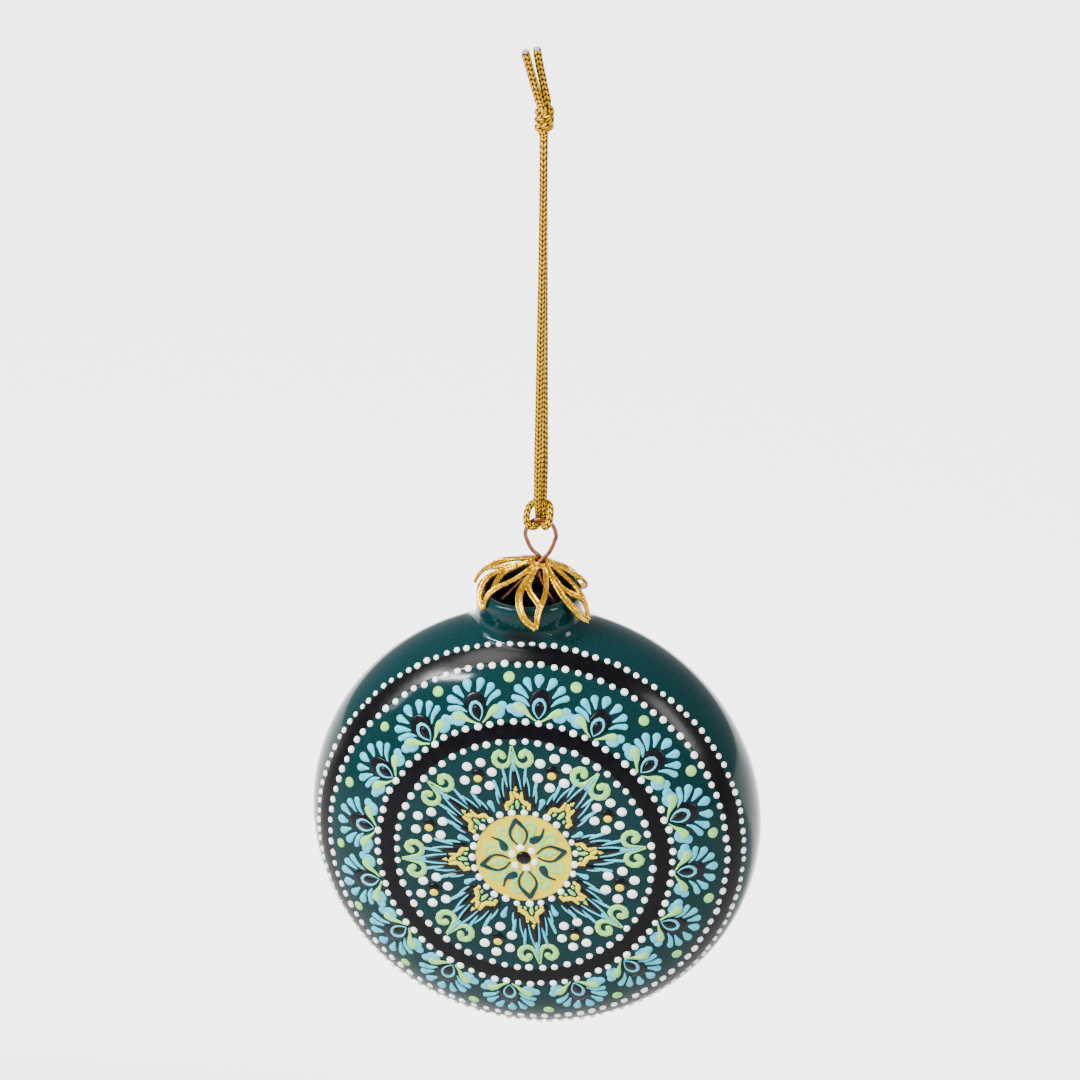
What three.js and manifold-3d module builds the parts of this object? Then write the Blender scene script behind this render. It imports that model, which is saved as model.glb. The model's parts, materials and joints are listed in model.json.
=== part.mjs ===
// A hanging ornament: a hollow ceramic disc with a short neck, a pierced petal cap over the neck,
// a copper wire hanger sprung into the neck, and a doubled cord hitched to the wire and knotted on top.
// Millimetres, +Z up, the painted face towards -Y. The origin is the hang point: the top of the branch
// or hook that the cord's loop is laid over, just under the knot.
import * as THREE from "three";
import { TessellateModifier } from "three/addons/modifiers/TessellateModifier.js";
import { mergeVertices } from "three/addons/utils/BufferGeometryUtils.js";
import Module from "manifold-3d";

const GAP = 0.3; // left between neighbouring pieces

// Ceramic body
const BODY_DIAMETER = 75;
const BODY_THICKNESS = 30;
const FACE_FLATNESS = 4.2; // exponent of the face's curve: a higher one gives a flatter face
const BODY_WALL = 3;
const BODY_OFFSET = -0.4; // the disc's centre from the plumb line, along X
const NECK_DIAMETER = 17.3;
const NECK_RISE = 4.75; // the rim above the top of the disc
const NECK_OFFSET = -1.4; // the neck's axis from the disc's centre, along X: it is set on by hand
const NECK_FLARE = 1.2; // how far the neck widens into the shoulder
const FLARE_HEIGHT = 4.5;
const LIP_ROUND = 0.8;
const NECK_WALL = 1.65;

// Petal cap
const CAP_RADIUS = 12; // of the dome's outside
const DOME_REACH = 9.4; // from the centre along the sheet, to where the petals bend down round the neck
const SKIRT_RADIUS = 7; // of that bend
const SEAT_GAP = 0.6; // the dome stands off the lip, so that its tilted skirt clears it too
const CAP_THICKNESS = 0.6;
const CAP_REACH = 13.5; // from the centre of the flat blank to a petal's tip
const CAP_HOLE = 2.8; // diameter
const PETALS = 6;
const FIRST_PETAL = -78; // degrees from +X about +Z

// Wire hanger
const WIRE_DIAMETER = 0.7;
const LOOP_WIDTH = 5; // of the wire's centre line
const LOOP_HEIGHT = 7.4; // from the wires' crossing to the top of the loop
const CROSSING_SPREAD = 0.5; // each wire from the middle plane where they cross
const LEG_LENGTH = 16; // from the crossing down to the lower foot
const LEFT_LEG_SHORTER = 1;

// Cord
const CORD_DIAMETER = 1.4;
const CORD_DROP = 66.2; // from the hang point to the top of the wire loop
const CORD_OFFSET = -0.3; // the hitch sits a little to one side on the loop
const BRANCH_DIAMETER = 6.3; // of what the loop is laid over
const BRANCH_TURN = 7.5; // degrees from +X about +Z, the way the branch runs
const HITCH_WIDTH = 4.8;
const HITCH_DEPTH = 4;
const HITCH_HEIGHT = 5.2;
const KNOT_WIDTH = 3.2;
const KNOT_HEIGHT = 5;
const TAIL_TOP = 13.8; // the cut ends above the hang point
const LEFT_TAIL_LEAN = -2.2; // along X, from the knot to the cut end
const RIGHT_TAIL_LEAN = -1.7;

// Facets
const ROUND_SIDES = 56;
const NECK_SIDES = 40;
const TUBE_SIDES = 8;
const CAP_FACET = 2.2; // the longest facet of the cap's sheet before it is domed

const bodyRadius = BODY_DIAMETER / 2;
const neckRadius = NECK_DIAMETER / 2;
const mouthRadius = neckRadius - NECK_WALL;
const wireRadius = WIRE_DIAMETER / 2;
const cordRadius = CORD_DIAMETER / 2;
const neckX = BODY_OFFSET + NECK_OFFSET;

// The cap's dome rests on the rounded lip, with its centre on the neck's axis, and tips until its hole
// meets the wire on the plumb line.
const capTilt = Math.asin(-neckX / CAP_RADIUS);
const lipCircle = neckRadius - LIP_ROUND;
const lipReach = CAP_RADIUS - CAP_THICKNESS - LIP_ROUND - SEAT_GAP;
const domeBelowRim = LIP_ROUND + Math.sqrt(lipReach ** 2 - lipCircle ** 2);
const loopTopZ = -CORD_DROP;
const crossingZ = loopTopZ - LOOP_HEIGHT;
const domeZ = crossingZ - CAP_RADIUS * Math.cos(capTilt);
const rimZ = domeZ + domeBelowRim;
const bodyZ = rimZ - NECK_RISE - bodyRadius;

const ceramic = new THREE.MeshStandardMaterial({ color: 0x104a4c, roughness: 0.15, metalness: 0 });
const gilt = new THREE.MeshStandardMaterial({ color: 0xdca032, roughness: 0.35, metalness: 1 });
const copper = new THREE.MeshStandardMaterial({ color: 0xb87355, roughness: 0.3, metalness: 1 });
const goldCord = new THREE.MeshStandardMaterial({ color: 0xe0a814, roughness: 0.5, metalness: 0.6 });

const wasm = await Module();
wasm.setup();

function solid(geometry) {
  const bare = geometry.clone();
  bare.deleteAttribute("normal");
  bare.deleteAttribute("uv");
  const merged = mergeVertices(bare, 1e-4);
  return new wasm.Manifold(
    new wasm.Mesh({
      numProp: 3,
      vertProperties: new Float32Array(merged.attributes.position.array),
      triVerts: new Uint32Array(merged.index.array),
    }),
  );
}

function geometryOf(manifold) {
  const mesh = manifold.getMesh();
  const geometry = new THREE.BufferGeometry();
  geometry.setAttribute("position", new THREE.BufferAttribute(mesh.vertProperties, 3));
  geometry.setIndex(new THREE.BufferAttribute(mesh.triVerts, 1));
  return geometry;
}

function named(name, geometry, material) {
  geometry.computeVertexNormals();
  const mesh = new THREE.Mesh(geometry, material);
  mesh.name = name;
  return mesh;
}

// A round tube along a curve, closed at both ends.
function tube(curve, radius, steps) {
  const section = new THREE.Shape().absarc(0, 0, radius, 0, 2 * Math.PI);
  return new THREE.ExtrudeGeometry(section, {
    steps,
    curveSegments: TUBE_SIDES / 2,
    extrudePath: curve,
  });
}

function curveThrough(points) {
  return new THREE.CatmullRomCurve3(points.map(([x, y, z]) => new THREE.Vector3(x, y, z)));
}

// A disc about Y whose two faces follow a flattened curve and meet in a round edge.
function disc(radius, thickness) {
  const steps = 22;
  const profile = [];
  for (let i = 0; i <= steps; i++) {
    const angle = (Math.PI * i) / steps - Math.PI / 2;
    const r = radius * Math.cos(angle) ** (2 / FACE_FLATNESS);
    profile.push(new THREE.Vector2(i % steps ? r : 0, (thickness / 2) * Math.sin(angle)));
  }
  return new THREE.LatheGeometry(profile, ROUND_SIDES);
}

// The neck about Z, from inside the disc up to its rounded lip.
function neck() {
  const topZ = bodyRadius + NECK_RISE;
  const flareZ = bodyRadius - FLARE_HEIGHT;
  const profile = [new THREE.Vector2(0, flareZ - NECK_FLARE)];
  profile.push(new THREE.Vector2(neckRadius - NECK_FLARE, flareZ - NECK_FLARE));
  const arcSteps = 4;
  for (let i = 0; i <= arcSteps; i++) {
    const angle = ((Math.PI / 2) * i) / arcSteps;
    const r = neckRadius + NECK_FLARE * (1 - Math.sin(angle));
    profile.push(new THREE.Vector2(r, flareZ + FLARE_HEIGHT * (1 - Math.cos(angle))));
  }
  for (let i = 0; i <= arcSteps; i++) {
    const angle = ((Math.PI / 2) * i) / arcSteps;
    const r = lipCircle + LIP_ROUND * Math.cos(angle);
    profile.push(new THREE.Vector2(r, topZ - LIP_ROUND + LIP_ROUND * Math.sin(angle)));
  }
  profile.push(new THREE.Vector2(0, topZ));
  return new THREE.LatheGeometry(profile, NECK_SIDES).rotateX(Math.PI / 2);
}

function ceramicBody() {
  const mouthTop = bodyRadius + NECK_RISE + LIP_ROUND;
  const bore = new THREE.CylinderGeometry(mouthRadius, mouthRadius, bodyRadius, NECK_SIDES);
  bore.rotateX(Math.PI / 2).translate(NECK_OFFSET, 0, mouthTop - bodyRadius / 2);
  const cavity = disc(bodyRadius - BODY_WALL, BODY_THICKNESS - 2 * BODY_WALL);
  const outside = solid(disc(bodyRadius, BODY_THICKNESS)).add(solid(neck().translate(NECK_OFFSET, 0, 0)));
  const shell = outside.subtract(solid(cavity).add(solid(bore)));
  const mesh = named("ceramic_body", geometryOf(shell), ceramic);
  mesh.position.set(BODY_OFFSET, 0, bodyZ);
  return mesh;
}

// One petal is a pair of joined leaf outlines, one above the other. Its points are (along, across)
// from the cap's centre, for a reach of 1.
const PETAL_EDGE = [
  [0.163, -0.089],
  [0.32, -0.21],
  [0.51, -0.3],
  [0.71, -0.293],
  [0.86, -0.225],
  [1, 0.005],
  [0.86, 0.012],
  [0.73, 0.045],
  [0.6, 0.062],
  [0.33, 0.1],
  [0.163, 0.089],
];
const UPPER_LEAF_HOLE = [
  [0.21, -0.02],
  [0.38, -0.115],
  [0.5, -0.09],
  [0.6, -0.02],
  [0.47, 0.032],
  [0.33, 0.04],
];
const LOWER_LEAF_HOLE = [
  [0.41, -0.19],
  [0.55, -0.24],
  [0.7, -0.235],
  [0.83, -0.17],
  [0.9, -0.07],
  [0.78, -0.075],
  [0.66, -0.11],
  [0.52, -0.165],
];

// A smooth outline through a petal's points, turned to that petal's place on the blank.
function petalOutline(points, petal, closed, steps) {
  const turn = THREE.MathUtils.degToRad(FIRST_PETAL + (360 / PETALS) * petal);
  const local = points.map(([along, across]) => new THREE.Vector3(along, across, 0));
  const curve = new THREE.CatmullRomCurve3(local, closed, "centripetal");
  const outline = curve.getSpacedPoints(steps).map((p) => {
    return new THREE.Vector2(p.x, p.y).multiplyScalar(CAP_REACH).rotateAround(new THREE.Vector2(), turn);
  });
  if (closed) outline.pop();
  return outline;
}

function petalCap() {
  const edge = [];
  for (let petal = 0; petal < PETALS; petal++) edge.push(...petalOutline(PETAL_EDGE, petal, false, 28));
  const blank = new THREE.Shape(edge);
  blank.holes.push(new THREE.Path().absarc(0, 0, CAP_HOLE / 2, 0, 2 * Math.PI, true));
  for (let petal = 0; petal < PETALS; petal++) {
    blank.holes.push(new THREE.Path(petalOutline(UPPER_LEAF_HOLE, petal, true, 12)));
    blank.holes.push(new THREE.Path(petalOutline(LOWER_LEAF_HOLE, petal, true, 16)));
  }
  const sheet = new THREE.ExtrudeGeometry(blank, {
    depth: CAP_THICKNESS,
    bevelEnabled: false,
    curveSegments: 16,
  });
  const flat = new TessellateModifier(CAP_FACET, 12).modify(sheet);
  // Each point of the flat blank keeps its distance from the centre, measured along the dome's arc and
  // then along the tighter arc of the petals' tips.
  const place = flat.attributes.position;
  for (let i = 0; i < place.count; i++) {
    const reach = Math.hypot(place.getX(i), place.getY(i));
    const depth = CAP_THICKNESS - place.getZ(i);
    const domeAngle = Math.min(reach, DOME_REACH) / CAP_RADIUS;
    const angle = domeAngle + Math.max(reach - DOME_REACH, 0) / SKIRT_RADIUS;
    const bend = CAP_RADIUS - SKIRT_RADIUS;
    const r = bend * Math.sin(domeAngle) + (SKIRT_RADIUS - depth) * Math.sin(angle);
    const z = bend * Math.cos(domeAngle) + (SKIRT_RADIUS - depth) * Math.cos(angle);
    place.setXYZ(i, (place.getX(i) * r) / reach, (place.getY(i) * r) / reach, z);
  }
  const mesh = named("petal_cap", flat, gilt);
  mesh.rotation.y = capTilt;
  mesh.position.set(neckX, 0, domeZ);
  return mesh;
}

// The wire runs from the left foot up through the crossing, round the loop and back down to the right
// foot. Both feet press on the wall of the mouth.
function wireHanger() {
  const half = LOOP_WIDTH / 2;
  const shoulder = LOOP_HEIGHT - half;
  const leftWall = neckX - mouthRadius + wireRadius + GAP;
  const rightWall = neckX + mouthRadius - wireRadius - GAP;
  const diagonal = Math.SQRT1_2 * half;
  const route = curveThrough([
    [leftWall, 0, -LEG_LENGTH + LEFT_LEG_SHORTER],
    [leftWall, 0, -0.72 * LEG_LENGTH],
    [0.9 * leftWall, 0, -0.56 * LEG_LENGTH],
    [0.53 * leftWall, -0.4 * CROSSING_SPREAD, -0.34 * LEG_LENGTH],
    [0.2 * leftWall, -0.9 * CROSSING_SPREAD, -0.13 * LEG_LENGTH],
    [0, -CROSSING_SPREAD, 0],
    [0.6 * half, -0.7 * CROSSING_SPREAD, 0.36 * shoulder],
    [0.92 * half, -0.2 * CROSSING_SPREAD, 0.74 * shoulder],
    [half, 0, shoulder],
    [diagonal, 0, shoulder + diagonal],
    [0, 0, LOOP_HEIGHT],
    [-diagonal, 0, shoulder + diagonal],
    [-half, 0, shoulder],
    [-0.92 * half, 0.2 * CROSSING_SPREAD, 0.74 * shoulder],
    [-0.6 * half, 0.7 * CROSSING_SPREAD, 0.36 * shoulder],
    [0, CROSSING_SPREAD, 0],
    [-0.11 * rightWall, 0.9 * CROSSING_SPREAD, -0.15 * LEG_LENGTH],
    [0.12 * rightWall, 0.6 * CROSSING_SPREAD, -0.31 * LEG_LENGTH],
    [0.55 * rightWall, 0.3 * CROSSING_SPREAD, -0.5 * LEG_LENGTH],
    [0.9 * rightWall, 0, -0.68 * LEG_LENGTH],
    [rightWall, 0, -0.84 * LEG_LENGTH],
    [rightWall, 0, -LEG_LENGTH],
  ]);
  const mesh = named("wire_hanger", tube(route, wireRadius, 84), copper);
  mesh.position.z = crossingZ;
  return mesh;
}

// The lark's head on the wire loop, as the outer shape of its wraps. The way through it is the space
// that the loop's round top sweeps as it swings front to back.
function cordHitch() {
  const lump = new THREE.SphereGeometry(1, 20, 12);
  lump.scale(HITCH_WIDTH / 2, HITCH_DEPTH / 2, HITCH_HEIGHT / 2);
  const half = LOOP_WIDTH / 2;
  const inside = half - wireRadius - GAP;
  const steps = 10;
  const profile = [new THREE.Vector2(0, -HITCH_WIDTH), new THREE.Vector2(half, -HITCH_WIDTH)];
  for (let i = 0; i <= steps; i++) {
    const angle = Math.PI * (i / steps - 0.5);
    profile.push(new THREE.Vector2(half - inside * Math.cos(angle), inside * Math.sin(angle)));
  }
  profile.push(new THREE.Vector2(half, HITCH_WIDTH), new THREE.Vector2(0, HITCH_WIDTH));
  const sweep = new THREE.LatheGeometry(profile, 20).rotateZ(-Math.PI / 2);
  const mesh = named("cord_hitch", geometryOf(solid(lump).subtract(solid(sweep))), goldCord);
  mesh.position.z = loopTopZ;
  return mesh;
}

// The strands hang from the knot over the front and the back of the branch, and come together at the
// hitch, where one lies a little in front of the other.
function cordStrand(name, side) {
  const hitchTop = loopTopZ + HITCH_HEIGHT / 2 + GAP;
  const branchRadius = BRANCH_DIAMETER / 2;
  const wrap = branchRadius + cordRadius;
  const turn = THREE.MathUtils.degToRad(BRANCH_TURN);
  const nearby = cordRadius + GAP / 2;
  const route = curveThrough([
    [0, side * 0.3 * wrap, -branchRadius + 0.95 * wrap],
    [0, side * 0.71 * wrap, -branchRadius + 0.71 * wrap],
    [0, side * wrap, -branchRadius],
    [0, side * 0.95 * wrap, -8],
    [0, side * 0.78 * wrap, -22],
    [0, side * 0.52 * wrap, -42],
    [0.3 * nearby * side, side * 1.2 * nearby, -56],
    [0.5 * nearby * side, side * 0.88 * nearby, hitchTop + 1.5],
    [0.5 * nearby * side, side * 0.88 * nearby, hitchTop],
  ]);
  for (const point of route.points) {
    const share = Math.max(0, 1 + point.z / CORD_DROP);
    point.applyAxisAngle(new THREE.Vector3(0, 0, 1), turn * share);
    point.x += CORD_OFFSET;
  }
  return named(name, tube(route, cordRadius, 26), goldCord);
}

function cordKnot() {
  const knot = new THREE.SphereGeometry(1, 14, 10);
  knot.rotateX(Math.PI / 2).scale(KNOT_WIDTH / 2, KNOT_WIDTH / 2, KNOT_HEIGHT / 2);
  const mesh = named("cord_knot", knot, goldCord);
  mesh.position.set(CORD_OFFSET, 0, KNOT_HEIGHT / 2 + cordRadius + GAP);
  return mesh;
}

// A tail rises from its place on the knot, (x, y) from the knot's axis, and leans along X.
function cordTail(name, [x, y], lean) {
  const foot = KNOT_HEIGHT + cordRadius + 2 * GAP;
  const rise = TAIL_TOP - foot;
  const route = curveThrough([
    [CORD_OFFSET + x, y, foot],
    [CORD_OFFSET + x + 0.3 * lean, y, foot + 0.35 * rise],
    [CORD_OFFSET + x + 0.65 * lean, y, foot + 0.7 * rise],
    [CORD_OFFSET + x + lean, y, TAIL_TOP],
  ]);
  return named(name, tube(route, cordRadius, 4), goldCord);
}

const ornament = new THREE.Group();
ornament.add(ceramicBody(), petalCap(), wireHanger());

const cord = new THREE.Group();
cord.add(cordHitch(), cordKnot());
cord.add(cordStrand("cord_front_strand", -1), cordStrand("cord_back_strand", 1));
const beside = cordRadius + GAP / 2;
const leftFoot = [-0.9 * beside, -0.6 * beside];
const rightFoot = [0.45 * beside, 0.95 * beside];
cord.add(cordTail("cord_left_tail", leftFoot, LEFT_TAIL_LEAN));
cord.add(cordTail("cord_right_tail", rightFoot, RIGHT_TAIL_LEAN));
ornament.add(cord);

export default ornament;
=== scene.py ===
"""A hand-painted ceramic disc ornament hanging from a knotted gold cord.

+Z is up and the painted face looks towards -Y. Lengths are in metres, and most are written as a number
times mm. The strokes of paint, the cap and the routes of wire and cord are given in plain millimetres.
"""

import math

import bmesh
import bpy
import numpy as np
from mathutils import Matrix, Vector
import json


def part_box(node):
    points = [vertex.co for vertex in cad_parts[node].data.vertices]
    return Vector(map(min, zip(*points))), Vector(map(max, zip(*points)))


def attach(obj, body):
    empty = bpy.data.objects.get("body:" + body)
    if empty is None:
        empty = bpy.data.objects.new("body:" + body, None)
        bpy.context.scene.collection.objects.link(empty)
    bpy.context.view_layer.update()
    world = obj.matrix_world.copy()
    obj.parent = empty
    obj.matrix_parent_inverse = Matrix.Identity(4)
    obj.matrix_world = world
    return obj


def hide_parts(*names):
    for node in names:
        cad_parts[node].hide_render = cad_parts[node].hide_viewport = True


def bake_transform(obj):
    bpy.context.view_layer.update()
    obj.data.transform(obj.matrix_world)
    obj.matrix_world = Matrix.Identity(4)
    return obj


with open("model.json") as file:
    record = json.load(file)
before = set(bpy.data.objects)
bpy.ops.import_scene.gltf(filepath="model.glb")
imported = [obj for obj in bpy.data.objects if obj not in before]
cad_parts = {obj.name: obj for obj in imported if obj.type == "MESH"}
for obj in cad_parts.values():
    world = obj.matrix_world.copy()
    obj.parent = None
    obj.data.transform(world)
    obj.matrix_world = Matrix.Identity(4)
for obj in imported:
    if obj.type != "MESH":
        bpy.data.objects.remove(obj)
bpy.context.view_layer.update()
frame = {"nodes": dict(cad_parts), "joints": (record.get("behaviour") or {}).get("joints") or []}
mm = 0.001


class Signal:
    """One node socket. Numbers and signals can be added, multiplied and so on, which makes Math nodes."""

    tree = None

    def __init__(self, socket):
        self.socket = socket

    @staticmethod
    def make(kind, links=None, output=0, **settings):
        node = Signal.tree.nodes.new(kind)
        for name, value in settings.items():
            setattr(node, name, value)
        for name, value in (links or {}).items():
            if isinstance(value, Signal):
                Signal.tree.links.new(value.socket, node.inputs[name])
            else:
                node.inputs[name].default_value = value
        return Signal(node.outputs[output])

    def maths(self, operation, other=0.0, reflected=False):
        pair = {0: other, 1: self} if reflected else {0: self, 1: other}
        return Signal.make("ShaderNodeMath", pair, operation=operation)

    def __add__(self, other):
        return self.maths("ADD", other)

    def __radd__(self, other):
        return self.maths("ADD", other, True)

    def __sub__(self, other):
        return self.maths("SUBTRACT", other)

    def __rsub__(self, other):
        return self.maths("SUBTRACT", other, True)

    def __mul__(self, other):
        return self.maths("MULTIPLY", other)

    def __rmul__(self, other):
        return self.maths("MULTIPLY", other, True)

    def __truediv__(self, other):
        return self.maths("DIVIDE", other)

    def __rtruediv__(self, other):
        return self.maths("DIVIDE", other, True)

    def above(self, low, high):
        """0 below low, 1 above high, and a soft step between them."""
        levels = {"Value": self, "From Min": low, "From Max": high}
        return Signal.make("ShaderNodeMapRange", levels, interpolation_type="SMOOTHSTEP")

    def blend(self, first, second):
        """The first colour where this signal is 0 and the second where it is 1."""
        colours = {0: self, 6: first, 7: second}
        return Signal.make("ShaderNodeMix", colours, output=2, data_type="RGBA")

    def parts(self):
        split = Signal.make("ShaderNodeSeparateXYZ", {0: self})
        return [Signal(socket) for socket in split.socket.node.outputs]

    @staticmethod
    def noise(place, scale, detail=2.0):
        return Signal.make("ShaderNodeTexNoise", {"Vector": place, "Scale": scale, "Detail": detail})

    @staticmethod
    def material(name):
        """Starts a material: returns it and the object coordinates."""
        made = bpy.data.materials.new(name)
        made.use_nodes = True
        Signal.tree = made.node_tree
        return made, Signal.make("ShaderNodeTexCoord", output=3)

    @staticmethod
    def finish(made, **inputs):
        """Sets the shader's inputs; an underscore in a name stands for a space."""
        shader = made.node_tree.nodes["Principled BSDF"]
        for name, value in inputs.items():
            socket = shader.inputs[name.replace("_", " ")]
            if isinstance(value, Signal):
                made.node_tree.links.new(value.socket, socket)
            else:
                socket.default_value = value
        return made


# ==================================================================== Studio
# A pale floor lies well below the ornament, in a pale room. It glows from behind the ornament on, as painted
# light, and the glow fades far away; in front of the ornament it is painted darker and dim, as painted shade.
# A strip like a window lights the upper left, with a lamp above it and a fill on each side. The camera looks
# down on the painted face.
body_low, body_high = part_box("ceramic_body")
disc_radius = (body_high.x - body_low.x) / 2
disc_half_depth = (body_high.y - body_low.y) / 2
disc_centre = Vector(((body_low.x + body_high.x) / 2, 0, body_low.z + disc_radius))

floor_mesh = bpy.data.meshes.new("floor")
reach = 6.0
floor_drop = 0.3
floor_z = body_low.z - floor_drop
floor_mesh.from_pydata(
    [(-reach, -reach, floor_z), (reach, -reach, floor_z), (reach, reach, floor_z), (-reach, reach, floor_z)],
    [],
    [(0, 1, 2, 3)],
)
floor = bpy.data.objects.new("floor", floor_mesh)
bpy.context.scene.collection.objects.link(floor)
paper, place = Signal.material("floor_paper")
paper_tone = Signal.noise(place, 3.0).above(0.3, 0.7).blend((0.88, 0.88, 0.89, 1), (0.9, 0.9, 0.9, 1))
y = place.parts()[1]
# Painted light and shade: behind the ornament the floor is pale and glows, and in front of it it is painted
# darker and dim.
painted_glow_behind = y.above(0.3, 0.5) * (1 - y.above(1.7, 4.5))
floor_mesh.materials.append(
    Signal.finish(
        paper,
        Base_Color=painted_glow_behind.blend((0.68, 0.68, 0.69, 1), paper_tone),
        Roughness=0.9,
        Emission_Color=painted_glow_behind.blend((0.06, 0.06, 0.06, 1), (1, 1, 1, 1)),
        Emission_Strength=3.0,
    )
)

world = bpy.data.worlds.new("room")
world.use_nodes = True
world.node_tree.nodes["Background"].inputs["Color"].default_value = (0.98, 0.99, 1.0, 1)
world.node_tree.nodes["Background"].inputs["Strength"].default_value = 0.85
bpy.context.scene.world = world

for name, azimuth, elevation, distance, width, height, power in [
    ("window", -50, 37, 1.1, 0.45, 0.08, 22),
    ("overhead", -48, 58, 1.5, 0.6, 0.5, 14),
    ("left_fill", -66, 30, 1.6, 0.35, 0.8, 12),
    ("right_fill", 64, 26, 1.6, 0.3, 0.8, 17),
]:
    lamp_data = bpy.data.lights.new(name, "AREA")
    lamp_data.shape = "RECTANGLE"
    lamp_data.size = width
    lamp_data.size_y = height
    lamp_data.energy = power
    lamp = bpy.data.objects.new(name, lamp_data)
    a, e = math.radians(azimuth), math.radians(elevation)
    away = Vector((math.sin(a) * math.cos(e), -math.cos(a) * math.cos(e), math.sin(e)))
    lamp.location = disc_centre + away * distance
    lamp.rotation_euler = away.to_track_quat("Z", "Y").to_euler()
    bpy.context.scene.collection.objects.link(lamp)

camera_azimuth = 7.75
camera_elevation = 28.82
camera_roll = 0.4
camera_distance = 0.9
aim_up = 45.7 * mm
aim_right = 0.3 * mm
camera_data = bpy.data.cameras.new("camera")
camera_data.lens = 180
camera_data.sensor_width = 36
camera = bpy.data.objects.new("camera", camera_data)
a, e = math.radians(camera_azimuth), math.radians(camera_elevation)
back = Vector((math.sin(a) * math.cos(e), -math.cos(a) * math.cos(e), math.sin(e)))
right = Vector((math.cos(a), math.sin(a), 0))
camera.location = disc_centre + back * camera_distance
looked_at = disc_centre + back.cross(right) * aim_up + right * aim_right
look = (camera.location - looked_at).to_track_quat("Z", "Y").to_matrix()
camera.rotation_euler = (look @ Matrix.Rotation(math.radians(camera_roll), 3, "Z")).to_euler()
bpy.context.scene.collection.objects.link(camera)
bpy.context.scene.camera = camera


# ============================================================== Ceramic body
# Two pressed stoneware halves joined into a hollow disc, with a short neck set on a little off centre and
# worked into the shoulder with a finger. Glazed teal all over, with two brushed black bands and a yellow
# boss on the face. The bore of the neck's mouth is painted near black, as painted shade.
face_flatness = 4.2
wall = 3 * mm
neck_x = frame["joints"][1]["pos_m"][0] - disc_centre.x
neck_radius = 8.65 * mm
mouth_radius = 7 * mm
lip_round = 0.8 * mm
fillet = 2.4 * mm
inner_fillet = 0.9 * mm
neck_top = body_high.z - disc_centre.z
neck_height = 8 * mm
body_voxel = 0.6 * mm
outer_band = 33.1 * mm, 35.2 * mm
inner_band = 21.5 * mm, 24.3 * mm
boss_radius = 8 * mm


def add_object(name, vertices, faces, material=None):
    """A smooth-shaded mesh object with its normals turned out."""
    mesh = bpy.data.meshes.new(name)
    mesh.from_pydata(vertices, [], faces)
    if material:
        mesh.materials.append(material)
    tidy = bmesh.new()
    tidy.from_mesh(mesh)
    bmesh.ops.recalc_face_normals(tidy, faces=tidy.faces)
    tidy.to_mesh(mesh)
    tidy.free()
    mesh.shade_smooth()
    made = bpy.data.objects.new(name, mesh)
    bpy.context.scene.collection.objects.link(made)
    return made


def vertices_of(mesh):
    flat = np.empty(3 * len(mesh.vertices))
    mesh.vertices.foreach_get("co", flat)
    return flat.reshape(-1, 3)


def set_vertices(mesh, vertices):
    mesh.vertices.foreach_set("co", vertices.ravel())
    mesh.update()


def remeshed(mesh, voxel):
    """The mesh's outside, rebuilt from even small quads."""
    carrier = bpy.data.objects.new("carrier", mesh)
    bpy.context.scene.collection.objects.link(carrier)
    modifier = carrier.modifiers.new("even", "REMESH")
    modifier.mode = "VOXEL"
    modifier.voxel_size = voxel
    modifier.use_smooth_shade = True
    made = bpy.data.meshes.new_from_object(carrier.evaluated_get(bpy.context.evaluated_depsgraph_get()))
    bpy.data.objects.remove(carrier)
    return made


def soft_least(a, b, softness):
    """The smaller of a and b, rounded off where they are nearly equal."""
    share = np.clip(0.5 + 0.5 * (b - a) / softness, 0, 1)
    return b + (a - b) * share - softness * share * (1 - share)


def depth_of_disc(r, y, radius, half_depth):
    """About how far a point is outside the flattened disc, from its height r off the axis and its y."""
    level = (r / radius) ** face_flatness + (y / half_depth) ** 2 - 1
    steep_r = face_flatness * (r / radius) ** (face_flatness - 1) / radius
    steep_y = 2 * y / half_depth**2
    return level / np.maximum(np.hypot(steep_r, steep_y), 40)


def depth_of_body(p):
    """About how far points are outside the body's skin. The neck gets flatter, front to back, lower down."""
    r = np.hypot(p[:, 0], p[:, 2])
    squeezed = 1 + 0.5 * np.clip((neck_top - p[:, 2]) / neck_height, 0, 1) ** 2
    off_neck = np.hypot(p[:, 0] - neck_x, p[:, 1] * squeezed)
    past_side = off_neck - (neck_radius - lip_round)
    past_top = p[:, 2] - (neck_top - lip_round)
    neck = np.hypot(np.maximum(past_side, 0), np.maximum(past_top, 0)) - lip_round
    neck += np.minimum(np.maximum(past_side, past_top), 0)
    neck = np.maximum(neck, disc_radius / 2 - p[:, 2])
    outer = soft_least(depth_of_disc(r, p[:, 1], disc_radius, disc_half_depth), neck, fillet)
    cavity = depth_of_disc(r, p[:, 1], disc_radius - wall, disc_half_depth - wall)
    bore = np.maximum(off_neck - mouth_radius, disc_radius / 2 - p[:, 2])
    inner = np.minimum(cavity, bore)
    return -soft_least(-outer, inner, inner_fillet)


def onto_body(points, steps):
    """The nearest points on the body's skin, and the skin's slope there."""
    tiny = 0.01 * mm
    slope = np.zeros_like(points)
    for _ in range(steps):
        for axis, shift in enumerate(tiny * np.eye(3)):
            slope[:, axis] = (depth_of_body(points + shift) - depth_of_body(points - shift)) / (2 * tiny)
        level = depth_of_body(points) / np.maximum((slope**2).sum(axis=1), 0.25)
        points = points - slope * np.clip(level, -0.4 * mm, 0.4 * mm)[:, None]
    return points, slope


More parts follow.
